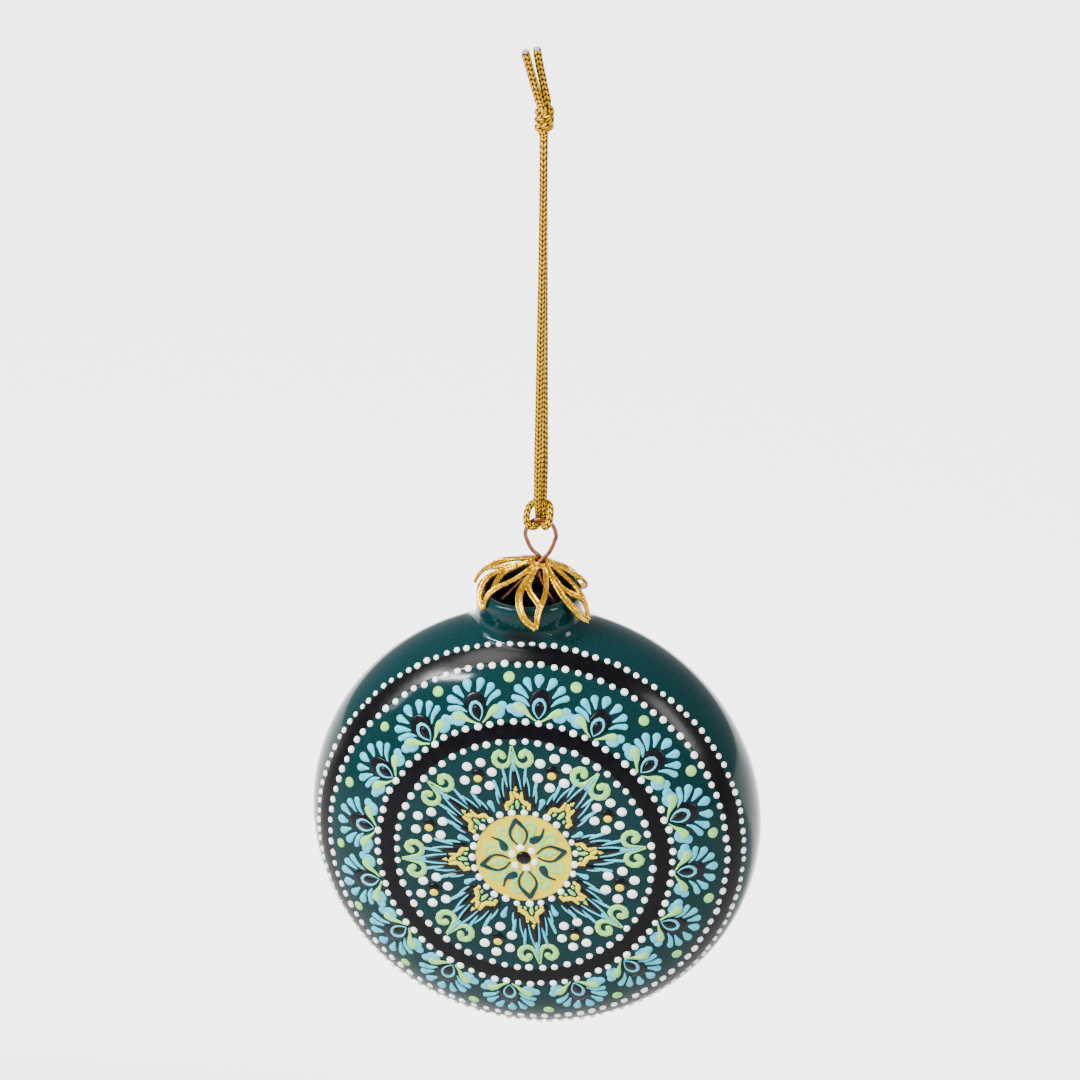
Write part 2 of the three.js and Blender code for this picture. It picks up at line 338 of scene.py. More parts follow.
shell = bmesh.new()
shell.from_mesh(frame["nodes"]["ceramic_body"].data)
bmesh.ops.remove_doubles(shell, verts=shell.verts, dist=0.001 * mm)
rough_mesh = bpy.data.meshes.new("rough_body")
shell.to_mesh(rough_mesh)
shell.free()
body_mesh = remeshed(rough_mesh, body_voxel)
skin, _ = onto_body(vertices_of(body_mesh) - np.array(disc_centre), 6)
set_vertices(body_mesh, skin + np.array(disc_centre))
body = bpy.data.objects.new("glazed_body", body_mesh)
bpy.context.scene.collection.objects.link(body)

glaze, place = Signal.material("teal_glaze")
x, y, z = place.parts()
x = x - disc_centre.x
z = z - disc_centre.z
wobble = (Signal.noise(place, 260, 3) - 0.5) * 0.5 * mm
r = (x * x + z * z).maths("SQRT") + wobble
front = (0 - y).above(0, 1 * mm)
edge = 0.12 * mm


def between(value, low, high):
    """1 where the value is from low to high, and 0 elsewhere."""
    return value.above(low - edge, low + edge) * (1 - value.above(high - edge, high + edge))


band = (between(r, *outer_band) + between(r, *inner_band)) * front
boss = (1 - r.above(boss_radius - edge, boss_radius + edge)) * front
off_neck = ((x - neck_x) * (x - neck_x) + y * y).maths("SQRT")
# Painted shade: inside the mouth of the neck the colour is painted near black.
painted_mouth_shade = (1 - off_neck.above(mouth_radius + 0.1 * mm, mouth_radius + 0.7 * mm)) * z.above(32 * mm, 33 * mm)
speckle = Signal.noise(place, 4200, 2).above(0.3, 0.72)
cloud = Signal.noise(place, 55, 3).above(0.3, 0.75)
teal = speckle.blend((0.0004, 0.013, 0.0145, 1), (0.0012, 0.027, 0.0275, 1))
teal = (cloud * 0.4).blend(teal, (0.0006, 0.018, 0.022, 1))
streak = Signal.noise(place, 900, 4).above(0.35, 0.7)
black = streak.blend((0.0003, 0.0002, 0.0006, 1), (0.002, 0.0015, 0.003, 1))
yellow = Signal.noise(place, 420, 3).above(0.35, 0.7).blend((0.64, 0.47, 0.0, 1), (0.7, 0.57, 0.0, 1))
colour = band.blend(teal, black)
colour = boss.blend(colour, yellow)
colour = painted_mouth_shade.blend(colour, (0.002, 0.002, 0.002, 1))
height = Signal.noise(place, 320, 2) * 0.06 + band * 0.3 + boss * 0.25 + streak * band * 0.06
bump = Signal.make("ShaderNodeBump", {"Height": height, "Strength": 0.5, "Distance": 0.15 * mm})
body_mesh.materials.append(
    Signal.finish(
        glaze,
        Base_Color=colour,
        Roughness=0.1 + band * 0.12 + boss * 0.25 + painted_mouth_shade * 0.5,
        Specular_IOR_Level=0.13,
        Normal=bump,
    )
)
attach(body, "bauble")
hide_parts("ceramic_body")


# ============================================================ Paint on the face
# Thick slip paint, trailed and dotted by hand on the glaze, standing a few tenths of a millimetre proud.
# Each motif is modelled flat, x to the right and z outwards with its height towards -Y, set round a circle
# and then laid on the curved face.
def face_y(r):
    """The y of the painted face, from the centre of the disc, at a distance r from its axis."""
    return -disc_half_depth * np.sqrt(1 - np.minimum(r / disc_radius, 1) ** face_flatness)


# Distances along the face from its centre out, against the radius that they reach.
radii = disc_radius * np.sin(np.linspace(0, math.pi / 2, 4000))[:-1]
along_face = np.concatenate([[0], np.cumsum(np.hypot(np.diff(radii), np.diff(face_y(radii))))])


def along(radius):
    """The distance along the face from its centre to a circle of this radius."""
    return float(np.interp(radius, radii, along_face))


def lay_on_face(mesh):
    """Wraps a flat mesh round the face. Its heights, towards -Y, become heights along the face's normal."""
    flat = vertices_of(mesh)
    out = np.hypot(flat[:, 0], flat[:, 2])
    sine, cosine = flat[:, 0] / np.maximum(out, 1e-9), flat[:, 2] / np.maximum(out, 1e-9)
    r = np.interp(out, along_face, radii)
    slope = (face_y(r + 1e-6) - face_y(r - 1e-6)) / 2e-6
    normal = np.stack([slope * sine, -np.ones_like(r), slope * cosine], axis=1)
    foot = np.stack([r * sine, face_y(r), r * cosine], axis=1)
    by_neck = (out > along(30 * mm)) & (cosine > 0.8)
    foot[by_neck], normal[by_neck] = onto_body(foot[by_neck], 8)
    normal /= np.linalg.norm(normal, axis=1)[:, None]
    set_vertices(mesh, foot - flat[:, 1:2] * normal + np.array(disc_centre))


def smooth_line(points, steps):
    """Points at even parameter steps on a Catmull-Rom curve through the given ones."""
    p = np.array(points, float)
    p = np.concatenate([2 * p[:1] - p[1:2], p, 2 * p[-1:] - p[-2:-1]])
    t = np.linspace(0, len(p) - 3 - 1e-9, steps)
    k = t.astype(int)
    f = (t - k)[:, None]
    a, b, c, d = p[k], p[k + 1], p[k + 2], p[k + 3]
    return 0.5 * (2 * b + (c - a) * f + (2 * a - 5 * b + 4 * c - d) * f**2 + (3 * b - a - 3 * c + d) * f**3)


def dab(line, half_widths, height, base=0.0):
    """A brush or slip-trailer stroke in millimetres: (across, outward) points, with a half width at each.

    Its ends are round, so it runs on past its first and last points by the half widths there.
    """
    steps, sides = 20, 10
    spine = smooth_line([[*point, half] for point, half in zip(line, half_widths)], 200)
    for end, inner in ((0, 1), (-1, -2)):
        out = spine[end, :2] - spine[inner, :2]
        tip = [*(spine[end, :2] + out / np.linalg.norm(out) * spine[end, 2]), spine[end, 2]]
        spine = np.insert(spine, 0 if end == 0 else len(spine), tip, axis=0)
    gone = np.concatenate([[0], np.cumsum(np.linalg.norm(np.diff(spine[:, :2], axis=0), axis=1))])
    start, end = max(spine[0, 2], 0.02), max(spine[-1, 2], 0.02)
    spots = gone[-1] * (1 - np.cos(np.linspace(0, math.pi, steps))) / 2
    middle = np.stack([np.interp(spots, gone, spine[:, i]) for i in range(3)], axis=1)
    round_start = np.sqrt(1 - (1 - np.minimum(spots / start, 1)) ** 2)
    round_end = np.sqrt(1 - (1 - np.minimum((gone[-1] - spots) / end, 1)) ** 2)
    half = np.maximum(middle[:, 2], 0.03) * round_start * round_end
    ahead = np.gradient(middle[:, :2], axis=0)
    ahead /= np.maximum(np.linalg.norm(ahead, axis=1), 1e-9)[:, None]
    aside = np.stack([ahead[:, 1], -ahead[:, 0]], axis=1)
    turn = np.linspace(0, 2 * math.pi, sides, endpoint=False)
    lift = height * np.sqrt(np.minimum(half / max(half.max(), 1e-6), 1))
    across = middle[:, None, :2] + aside[:, None] * (half[:, None] * np.cos(turn))[..., None]
    up = base + np.where(np.sin(turn) > 0, np.sin(turn) * lift[:, None], np.sin(turn) * (0.08 + base))
    ring = np.stack([across[..., 0], -up, across[..., 1]], axis=-1)[1:-1] * mm
    poles = [[middle[0, 0] * mm, 0, middle[0, 1] * mm], [middle[-1, 0] * mm, 0, middle[-1, 1] * mm]]
    return tube_of(ring, poles)


def tube_of(rings, poles):
    """The vertices and faces of a closed tube through rings of points, with a point at each end."""
    count, sides = rings.shape[:2]
    vertices = [*rings.reshape(-1, 3), *poles]
    faces = []
    for i in range(count - 1):
        for j in range(sides):
            k = (j + 1) % sides
            faces.append((i * sides + j, i * sides + k, (i + 1) * sides + k, (i + 1) * sides + j))
    last = (count - 1) * sides
    for j in range(sides):
        k = (j + 1) % sides
        faces.append((k, j, count * sides))
        faces.append((last + j, last + k, count * sides + 1))
    return vertices, faces


def joined(parts):
    """The vertices and faces of several parts as one."""
    vertices, faces = [], []
    for some, around in parts:
        faces += [tuple(i + len(vertices) for i in face) for face in around]
        vertices += list(some)
    return vertices, faces


def dot(x, z, radius, height, base=0.0):
    """A round dab."""
    return dab([(x - 0.02, z), (x + 0.02, z)], [radius] * 2, height, base)


# The node tree that sets a motif round a circle: evenly by angle, gathered a little towards the top as it
# was set out by eye, and each copy slightly moved, swung and sized by a random number.
ring_tree = bpy.data.node_groups.new("motif_ring", "GeometryNodeTree")
for label, kind in [
    ("Motif", "NodeSocketObject"),
    ("Paint", "NodeSocketMaterial"),
    ("Count", "NodeSocketInt"),
    ("Radius", "NodeSocketFloat"),
    ("Start", "NodeSocketFloat"),
    ("Gather", "NodeSocketFloat"),
    ("Turn", "NodeSocketFloat"),
    ("Stray", "NodeSocketFloat"),
    ("Swing", "NodeSocketFloat"),
    ("Spread", "NodeSocketFloat"),
    ("Seed", "NodeSocketInt"),
]:
    ring_tree.interface.new_socket(label, in_out="INPUT", socket_type=kind)
ring_tree.interface.new_socket("Geometry", in_out="OUTPUT", socket_type="NodeSocketGeometry")
Signal.tree = ring_tree
given = {
    socket.name: Signal(socket) for socket in ring_tree.nodes.new("NodeGroupInput").outputs if socket.name
}


def either_way(amount, seed_step):
    """A random number for each copy, up to the amount either way."""
    limits = {2: 0 - amount, 3: amount, 8: given["Seed"] + seed_step}
    return Signal.make("FunctionNodeRandomValue", limits, output=1, data_type="FLOAT")


even = given["Start"] + Signal.make("GeometryNodeInputIndex") * (2 * math.pi) / given["Count"]
angle = even - given["Gather"] * even.maths("SINE") + either_way(given["Swing"], 0)
away = given["Radius"] + either_way(given["Stray"], 1)
spot = Signal.make("ShaderNodeCombineXYZ", {0: angle.maths("SINE") * away, 2: angle.maths("COSINE") * away})
facing = Signal.make("ShaderNodeCombineXYZ", {1: angle * given["Turn"]})
motif = Signal.make(
    "GeometryNodeObjectInfo", {"Object": given["Motif"]}, output="Geometry", transform_space="ORIGINAL"
)
spots = Signal.make("GeometryNodePoints", {"Count": given["Count"], "Position": spot})
size = Signal.make("ShaderNodeCombineXYZ", dict.fromkeys(range(3), 1 + either_way(given["Spread"], 2)))
copies = Signal.make(
    "GeometryNodeInstanceOnPoints",
    {"Points": spots, "Instance": motif, "Rotation": facing, "Scale": size},
)
real = Signal.make("GeometryNodeRealizeInstances", {0: copies})
painted = Signal.make("GeometryNodeSetMaterial", {"Geometry": real, "Material": given["Paint"]})
ring_tree.links.new(painted.socket, ring_tree.nodes.new("NodeGroupOutput").inputs[0])
socket_ids = {item.name: item.identifier for item in ring_tree.interface.items_tree}


def ring_of(name, parts, paint, radius, count=1, start=0.0, gather=0.0, turn=1.0, stray=0.0, swing=0.0,
            spread=0.0, seed=1):
    """Sets one motif, a list of dabs, round the face's centre and lays the ring on the face."""
    vertices, faces = joined(parts)
    motif = add_object(name + "_motif", vertices, faces)
    carrier = bpy.data.objects.new(name, bpy.data.meshes.new(name))
    bpy.context.scene.collection.objects.link(carrier)
    modifier = carrier.modifiers.new("ring", "NODES")
    modifier.node_group = ring_tree
    values = {
        "Motif": motif,
        "Paint": paint,
        "Count": count,
        "Radius": radius,
        "Start": math.radians(start),
        "Gather": math.radians(gather),
        "Turn": turn,
        "Stray": stray,
        "Swing": math.radians(swing),
        "Spread": spread,
        "Seed": seed,
    }
    for label, value in values.items():
        modifier[socket_ids[label]] = value
    depsgraph = bpy.context.evaluated_depsgraph_get()
    mesh = bpy.data.meshes.new_from_object(carrier.evaluated_get(depsgraph))
    carrier.modifiers.remove(modifier)
    bpy.data.objects.remove(motif)
    carrier.data = mesh
    lay_on_face(mesh)
    mesh.shade_smooth()
    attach(carrier, "bauble")


def slip(name, light, dark, roughness=0.3):
    """A slip colour that pools unevenly."""
    made, place = Signal.material(name)
    pool = Signal.noise(place, 1100, 3)
    soft = Signal.make("ShaderNodeBump", {"Height": pool, "Strength": 0.25, "Distance": 0.1 * mm})
    return Signal.finish(
        made,
        Base_Color=pool.above(0.3, 0.7).blend((*dark, 1), (*light, 1)),
        Roughness=roughness + pool * 0.12,
        Specular_IOR_Level=0.22,
        Normal=soft,
    )


white_slip = slip("white_slip", (0.98, 0.98, 0.95), (0.93, 0.93, 0.89))
blue_slip = slip("light_blue_slip", (0.08, 0.5, 0.62), (0.045, 0.38, 0.5))
green_slip = slip("light_green_slip", (0.3, 0.64, 0.14), (0.22, 0.54, 0.14))
yellow_slip = slip("yellow_slip", (0.74, 0.62, 0.004), (0.68, 0.52, 0.0))
black_slip = slip("black_slip", (0.003, 0.002, 0.004), (0.0006, 0.0005, 0.001), 0.18)
dark_slip = slip("dark_teal_slip", (0.001, 0.03, 0.034), (0.0006, 0.018, 0.022), 0.22)

# Dots along both edges of each black band and round the boss.
for name, radius, count, size, seed in [
    ("outer_band_outer_dots", 35.35, 124, 0.52, 3),
    ("outer_band_inner_dots", 32.95, 103, 0.56, 4),
    ("inner_band_outer_dots", 24.45, 77, 0.55, 5),
    ("inner_band_inner_dots", 21.15, 63, 0.56, 6),
    ("boss_dots", 8.55, 27, 0.56, 7),
]:
    ring_of(
        name,
        [dot(0, 0, size, 0.42)],
        white_slip,
        along(radius * mm),
        count,
        stray=0.16 * mm,
        swing=8 / radius,
        spread=0.13,
        seed=seed,
    )

# Sixteen fans, each on a base at the inner band: a black drop with a blue ring and a black core, a crest
# of blue drops, and a blue lobe with a green comma on each side. Light-green dots fill between their tops.
fans = {"radius": along(24.9 * mm), "count": 16, "start": 4.6, "gather": 2.2, "swing": 1.0, "spread": 0.04}
fan_blue = [
    dab([(-0.6, 5.55), (-0.65, 6.0), (-0.65, 6.6)], [0.3, 0.62, 0.84], 0.34),
    dab([(0.95, 5.2), (1.3, 5.75), (1.65, 6.4)], [0.26, 0.5, 0.76], 0.34),
    dab([(-1.75, 4.7), (-2.15, 5.35), (-2.6, 6.0)], [0.2, 0.44, 0.72], 0.32),
    dab([(-2.1, 3.5), (-2.9, 4.15), (-3.85, 4.7)], [0.16, 0.44, 0.72], 0.32),
    dab([(1.95, 4.0), (2.6, 4.7), (3.2, 5.35)], [0.16, 0.42, 0.7], 0.32),
    dab([(1.9, 2.6), (2.8, 3.5), (4.1, 4.1)], [0.14, 0.38, 0.56], 0.3),
    dab([(-1.7, 2.2), (-2.8, 3.0), (-4.3, 3.2)], [0.12, 0.42, 0.5], 0.26),
    dot(-3.3, 1.4, 1.3, 0.26),
    dot(-4.5, 1.35, 0.8, 0.22),
    dot(3.35, 1.2, 1.22, 0.26),
    dot(4.35, 1.95, 0.75, 0.22),
]
fan_ring = [
    dab([(0, 0.35), (-0.8, 1.35), (-0.98, 2.45), (-0.35, 3.4), (0.45, 3.3), (0.95, 2.35), (0.75, 1.3),
         (0.1, 0.35)],
        [0.08, 0.16, 0.27, 0.32, 0.28, 0.18, 0.12, 0.06], 0.2, 0.1),
]
fan_black = [dab([(0, 0.1), (0, 1.4), (0, 2.7), (0, 3.35)], [0.12, 1.25, 2.0, 1.75], 0.14)]
fan_core = [dab([(0.05, 0.75), (0.02, 1.5), (0, 2.25)], [0.16, 0.5, 0.64], 0.22, 0.1)]
fan_green = [
    dab([(-0.4, 0.0), (-1.4, 0.6), (-2.4, 1.45), (-3.2, 1.75)], [0.12, 0.24, 0.55, 0.82], 0.24, 0.2),
    dab([(0.6, 0.0), (1.5, 0.65), (2.4, 1.4), (3.1, 1.65)], [0.12, 0.24, 0.52, 0.76], 0.24, 0.2),
]
ring_of("fan_black_drops", fan_black, black_slip, **fans, seed=11)
ring_of("fan_blue_drops", fan_blue, blue_slip, **fans, seed=11)
ring_of("fan_blue_rings", fan_ring, blue_slip, **fans, seed=11)
ring_of("fan_black_cores", fan_core, black_slip, **fans, seed=11)
ring_of("fan_green_commas", fan_green, green_slip, **fans, seed=11)
ring_of("fan_green_dots", [dot(0, 0, 0.88, 0.32)], green_slip, along(31.2 * mm), 16, start=-6.4, gather=2.6,
        stray=0.2 * mm, swing=0.8, spread=0.08, seed=12)

# Eight flowers of six white dots round a black eye with a yellow dot low in it. They aren't turned with
# the ring.
flowers = {"radius": along(16.4 * mm), "count": 8, "start": -29.5, "gather": 1.2, "turn": 0.0, "swing": 2.2,
           "stray": 0.25 * mm, "spread": 0.05, "seed": 21}
flower_white = []
for step in range(6):
    bearing = math.radians(60 * step + 8)
    flower_white.append(dot(2.45 * math.sin(bearing), 2.55 * math.cos(bearing), 0.8, 0.44))
ring_of("flower_petals", flower_white, white_slip, **flowers)
ring_of("flower_eyes", [dot(0, 0.25, 1.05, 0.3)], black_slip, **flowers)
ring_of("flower_hearts", [dot(-0.05, -0.35, 0.68, 0.36, 0.2)], yellow_slip, **flowers)

# The eight-armed star round the boss. Each arm is a bunch of tapering strokes: light blue at the tips,
# then black, then yellow, with a green dab in its root.
arms = {"radius": 0.0, "count": 8, "start": -6.4, "gather": 1.5, "swing": 1.6, "spread": 0.03, "seed": 31}
arm_blue = [
    dab([(0, 19.6), (0.05, 17.8), (0, 16.4)], [0.16, 0.28, 0.2], 0.26),
    dab([(-1.85, 16.9), (-1.6, 15.2), (-1.35, 13.4)], [0.2, 0.26, 0.14], 0.26),
    dab([(2.05, 16.7), (1.75, 15.0), (1.45, 13.4)], [0.2, 0.26, 0.14], 0.26),
    dab([(-3.5, 14.5), (-3.1, 12.9), (-2.6, 11.2)], [0.24, 0.3, 0.14], 0.26),
    dab([(3.7, 14.3), (3.25, 12.8), (2.7, 11.2)], [0.24, 0.3, 0.14], 0.26),
    dab([(-0.3, 17.2), (-0.68, 15.0), (-0.84, 12.8)], [0.14, 0.17, 0.08], 0.2),
    dab([(0.3, 17.2), (0.72, 15.0), (0.9, 12.8)], [0.14, 0.17, 0.08], 0.2),
    dab([(-1.95, 14.9), (-2.15, 13.2), (-2.1, 11.6)], [0.14, 0.16, 0.08], 0.2),
    dab([(2.05, 14.9), (2.25, 13.2), (2.2, 11.6)], [0.14, 0.16, 0.08], 0.2),
    dab([(-3.3, 12.4), (-3.2, 11.2), (-3.0, 10.3)], [0.16, 0.2, 0.1], 0.2),
    dab([(3.4, 12.4), (3.3, 11.2), (3.1, 10.3)], [0.16, 0.2, 0.1], 0.2),
]
arm_black = [
    dab([(0.02, 16.4), (0.02, 14.6), (0, 12.6)], [0.16, 0.46, 0.46], 0.22),
    dab([(-1.4, 14.7), (-1.45, 12.9), (-1.3, 11.1)], [0.14, 0.46, 0.54], 0.22),
    dab([(1.5, 14.7), (1.55, 12.9), (1.4, 11.1)], [0.14, 0.46, 0.54], 0.22),
    dab([(-2.75, 12.7), (-2.6, 11.1), (-2.3, 9.5)], [0.14, 0.46, 0.52], 0.22),
    dab([(2.85, 12.7), (2.7, 11.1), (2.4, 9.5)], [0.14, 0.46, 0.52], 0.22),
]
arm_yellow = [
    dab([(0.08, 13.7), (0, 12.9)], [0.2, 0.38], 0.27),
    dab([(-0.2, 12.3), (0.15, 11.6)], [0.34, 0.42], 0.27),
    dab([(-0.9, 12.3), (-0.75, 11.3)], [0.26, 0.46], 0.27),
    dab([(0.95, 12.1), (0.8, 11.1)], [0.26, 0.44], 0.27),
    dab([(-1.0, 10.7), (-1.6, 10.2)], [0.48, 0.44], 0.27),
    dab([(1.05, 10.6), (1.7, 10.0)], [0.46, 0.42], 0.27),
    dab([(-2.15, 10.1), (-1.85, 9.4)], [0.22, 0.42], 0.27),
    dab([(2.2, 10.0), (1.9, 9.3)], [0.22, 0.4], 0.27),
]
arm_green = [
    dab([(0, 10.7), (0.02, 10.2), (-0.05, 9.5)], [0.2, 0.36, 0.24], 0.26),
    dab([(-0.9, 9.7), (-1.0, 9.4)], [0.24, 0.22], 0.24),
    dab([(0.95, 9.6), (1.0, 9.4)], [0.24, 0.22], 0.24),
]
ring_of("star_blue_strokes", arm_blue, blue_slip, **arms)
ring_of("star_black_strokes", arm_black, black_slip, **arms)
ring_of("star_yellow_strokes", arm_yellow, yellow_slip, **arms)
ring_of("star_green_dabs", arm_green, green_slip, **arms)
between_arms = [dab([(-0.1, 9.6), (0, 10.4), (0, 11.1)], [0.16, 0.36, 0.54], 0.3)]
ring_of("star_blue_drops", between_arms, blue_slip, 0.0, 8, start=16.1, gather=1.5, swing=2.0, spread=0.05,
        seed=32)

# A pair of green scrolls springs from the tip of each arm of the star.
scrolls = []
for side in (-1, 1):
    hook = [(0.12, 0.1), (0.45, -1.5), (0.75, -2.9), (1.85, -3.45), (2.95, -2.7), (3.0, -1.5), (2.1, -0.85),
            (1.6, -1.5)]
    scrolls.append(dab([(side * across, out) for across, out in hook],
                       [0.14, 0.2, 0.42, 0.5, 0.52, 0.56, 0.6, 0.62], 0.27))
ring_of("green_scrolls", scrolls, green_slip, 20.2 * mm, 8, start=-6.4, gather=1.5, swing=1.6, spread=0.05,
        seed=31)

# On the boss: four outlined petals and four sprigs in dark teal over pale-green washes, with a black eye
# in six white dots.
petals = {"radius": 0.0, "count": 4, "start": -12, "swing": 4.0, "spread": 0.03, "seed": 41}
petal_outline = []
for side in (-1, 1):
    edge_line = [(side * 0.35, 2.4), (side * 1.2, 3.6), (side * 1.4, 5.0), (side * 0.6, 6.4), (0, 7.2)]
    petal_outline.append(dab(edge_line, [0.14, 0.2, 0.24, 0.36, 0.4], 0.14, 0.08))
petal_leaf = [dab([(0, 2.6), (-0.05, 4.2), (0, 5.7)], [0.15, 0.72, 0.3], 0.08, 0.02)]
sprigs = {"radius": 0.0, "count": 4, "start": 31, "swing": 4.0, "spread": 0.04, "seed": 42}
sprig_drop = [dab([(-0.25, 3.7), (0.1, 4.3), (0.45, 5.1), (0.1, 6.5)], [0.7, 0.62, 0.3, 0.14], 0.16, 0.06)]
sprig_wash = []
for side in (-1, 1):
    curl = [(0.3, 2.6), (1.25, 3.6), (0.9, 4.9), (1.6, 6.2), (2.7, 6.0), (2.75, 5.0), (2.0, 4.8)]
    sprig_wash.append(dab([(side * across, out) for across, out in curl],
                          [0.2, 0.4, 0.42, 0.4, 0.36, 0.38, 0.36], 0.06, 0.01))
ring_of("boss_petal_outlines", petal_outline, dark_slip, **petals)
ring_of("boss_petal_leaves", petal_leaf, green_slip, **petals)
ring_of("boss_sprig_drops", sprig_drop, dark_slip, **sprigs)
ring_of("boss_sprig_washes", sprig_wash, green_slip, **sprigs)
ring_of("boss_eye", [dot(0, 0, 1.2, 0.42)], black_slip, 0.0)
ring_of("boss_eye_dots", [dot(0, 0, 0.62, 0.42, 0.02)], white_slip, 1.95 * mm, 6, start=-14, swing=3,
        stray=0.08 * mm, spread=0.08, seed=43)


# ================================================================ Wire hanger
# One length of soft copper wire, bent round into a loop with its legs crossing under it. The legs spring
# out against the wall of the neck.
wire_radius = 0.35 * mm
cut_end = 0.3 * mm
loop_top = Vector(frame["joints"][0]["pos_m"])
# The wire's route from the top of its loop, in millimetres: up one leg, round the loop, down the other leg.
wire_points = [
    (-8.15, 0, -22.4), (-8.15, 0, -18.92), (-7.33, 0, -16.36), (-4.32, -0.2, -12.84), (-1.63, -0.45, -9.48),
    (0, -0.5, -7.4), (1.5, -0.35, -5.64), (2.3, -0.1, -3.77), (2.5, 0, -2.5), (1.77, 0, -0.73), (0, 0, 0),
    (-1.77, 0, -0.73), (-2.5, 0, -2.5), (-2.3, 0.1, -3.77), (-1.5, 0.35, -5.64), (0, 0.5, -7.4),
    (-0.5, 0.45, -9.8), (0.54, 0.3, -12.36), (2.5, 0.15, -15.4), (4.1, 0, -18.28), (4.55, 0, -20.84),
    (4.55, 0, -23.4),
]


def swept(line, radius_at, sides):
    """Rings of points round a line: radius_at(distances, turns) gives the radius at each."""
    gone = np.concatenate([[0], np.cumsum(np.linalg.norm(np.diff(line, axis=0), axis=1))])
    ahead = np.gradient(line, axis=0)
    ahead /= np.linalg.norm(ahead, axis=1)[:, None]
    side = np.cross(ahead[0], [0.3, 0.2, 0.93])
    sides_along = []
    for direction in ahead:
        side = side - direction * (side @ direction)
        side /= np.linalg.norm(side)
        sides_along.append(side)
    side = np.array(sides_along)
    other = np.cross(ahead, side)
    turn = np.linspace(0, 2 * math.pi, sides, endpoint=False)
    radius = radius_at(gone[:, None], turn[None])
    outwards = side[:, None] * np.cos(turn)[:, None] + other[:, None] * np.sin(turn)[:, None]
    return line[:, None] + outwards * radius[..., None], gone


def even_line(points, step):
    """Evenly spaced points on a smooth curve through the given ones."""
    fine = smooth_line(points, 60 * len(points))
    gone = np.concatenate([[0], np.cumsum(np.linalg.norm(np.diff(fine, axis=0), axis=1))])
    spots = np.linspace(0, gone[-1], int(gone[-1] / step) + 1)
    return np.stack([np.interp(spots, gone, fine[:, i]) for i in range(3)], axis=1)


wire_line = even_line(np.array(wire_points) * mm + np.array(loop_top), 0.2 * mm)


def wire_radius_at(gone, turn):
    total = gone[-1, 0]
    near_end = np.minimum(gone, total - gone)
    blunt = np.sqrt(1 - (1 - np.minimum(near_end / cut_end, 1)) ** 2)
    return wire_radius * np.maximum(blunt, 0.25) * np.ones_like(turn)


rings, _ = swept(wire_line, wire_radius_at, 18)
copper, place = Signal.material("copper_wire")
drawn = Signal.noise(place, 700, 3).above(0.3, 0.7)
scratch = Signal.make("ShaderNodeBump", {"Height": Signal.noise(place, 5000, 2), "Strength": 0.12,
                                         "Distance": 0.05 * mm})
Signal.finish(
    copper,
    Base_Color=drawn.blend((0.2, 0.07, 0.035, 1), (0.36, 0.15, 0.085, 1)),
    Metallic=1.0,
    Roughness=0.3 + drawn * 0.14,
    Normal=scratch,
)
wire = add_object("copper_wire", *tube_of(rings, [wire_line[0], wire_line[-1]]), copper)
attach(wire, "hanger")
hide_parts("wire_hanger")


# ================================================================= Petal cap
# A cast and gilded bead cap of six open petals. Each petal is an outline of channelled ribs with a bright
# edge and a grainy bed, divided into an almond and a crescent, and the petals are bent down by hand. Its
# sizes here are in millimetres.
cap_thickness = 0.6
hub_height = 12.15
hub_reach = 2.6
cone = math.radians(27)
cone_reach = 8.3
bend_radius = 5.2
petal_reach = 14.2
cap_joint = frame["joints"][1]
cap_tilt = math.asin(cap_joint["axis"][0] / np.linalg.norm(cap_joint["axis"]))
petal_directions = -78, -18, 54, 112, 171, 222
# Each rib's points are (outwards, across), in petal lengths, with a half width in millimetres at each.
ribs = {
    "outer": (
        [(0.1, -0.04), (0.24, -0.12), (0.36, -0.2), (0.52, -0.268), (0.7, -0.264), (0.845, -0.2),
         (0.965, -0.035)],
        [0.56, 0.64, 0.64, 0.68, 0.68, 0.66, 0.5],
    ),
    "middle": (
        [(0.26, -0.11), (0.39, -0.155), (0.5, -0.13), (0.6, -0.065), (0.69, -0.005)],
        [0.5, 0.56, 0.54, 0.54, 0.6],
    ),
    "inner": (
        [(0.1, 0.05), (0.27, 0.068), (0.42, 0.07), (0.56, 0.045), (0.68, 0.0), (0.8, -0.03), (0.965, -0.03)],
        [0.52, 0.5, 0.46, 0.5, 0.64, 0.56, 0.48],
    ),
}
# Across a rib from its middle, in half widths, with the height in thicknesses.
rib_section = [
    (0, 0.62), (0.35, 0.64), (0.55, 0.78), (0.72, 1.0), (0.9, 0.92), (1, 0.6), (0.96, 0.08), (0.5, 0),
]
rib_section += [(-across, up) for across, up in rib_section[:0:-1]]


def flat_rib(points, half_widths, turn):
    """One rib of a petal on the flat blank, with the petal turned round the hub."""
    stations = [
        (outwards * petal_reach, across * petal_reach, half)
        for (outwards, across), half in zip(points, half_widths)
    ]
    line = smooth_line(stations, 60)
    ahead = np.gradient(line[:, :2], axis=0)
    ahead /= np.linalg.norm(ahead, axis=1)[:, None]
    aside = np.stack([ahead[:, 1], -ahead[:, 0]], axis=1)
    section = np.array(rib_section)
    spread = line[:, None, :2] + aside[:, None] * (line[:, 2:3] * section[:, 0])[..., None]
    up = np.broadcast_to(section[:, 1] * cap_thickness, spread.shape[:2])
    x = spread[..., 0] * math.cos(turn) - spread[..., 1] * math.sin(turn)
    y = spread[..., 0] * math.sin(turn) + spread[..., 1] * math.cos(turn)
    rings = np.stack([x, y, up], axis=-1) * mm
    return tube_of(rings, [rings[0].mean(axis=0), rings[-1].mean(axis=0)])


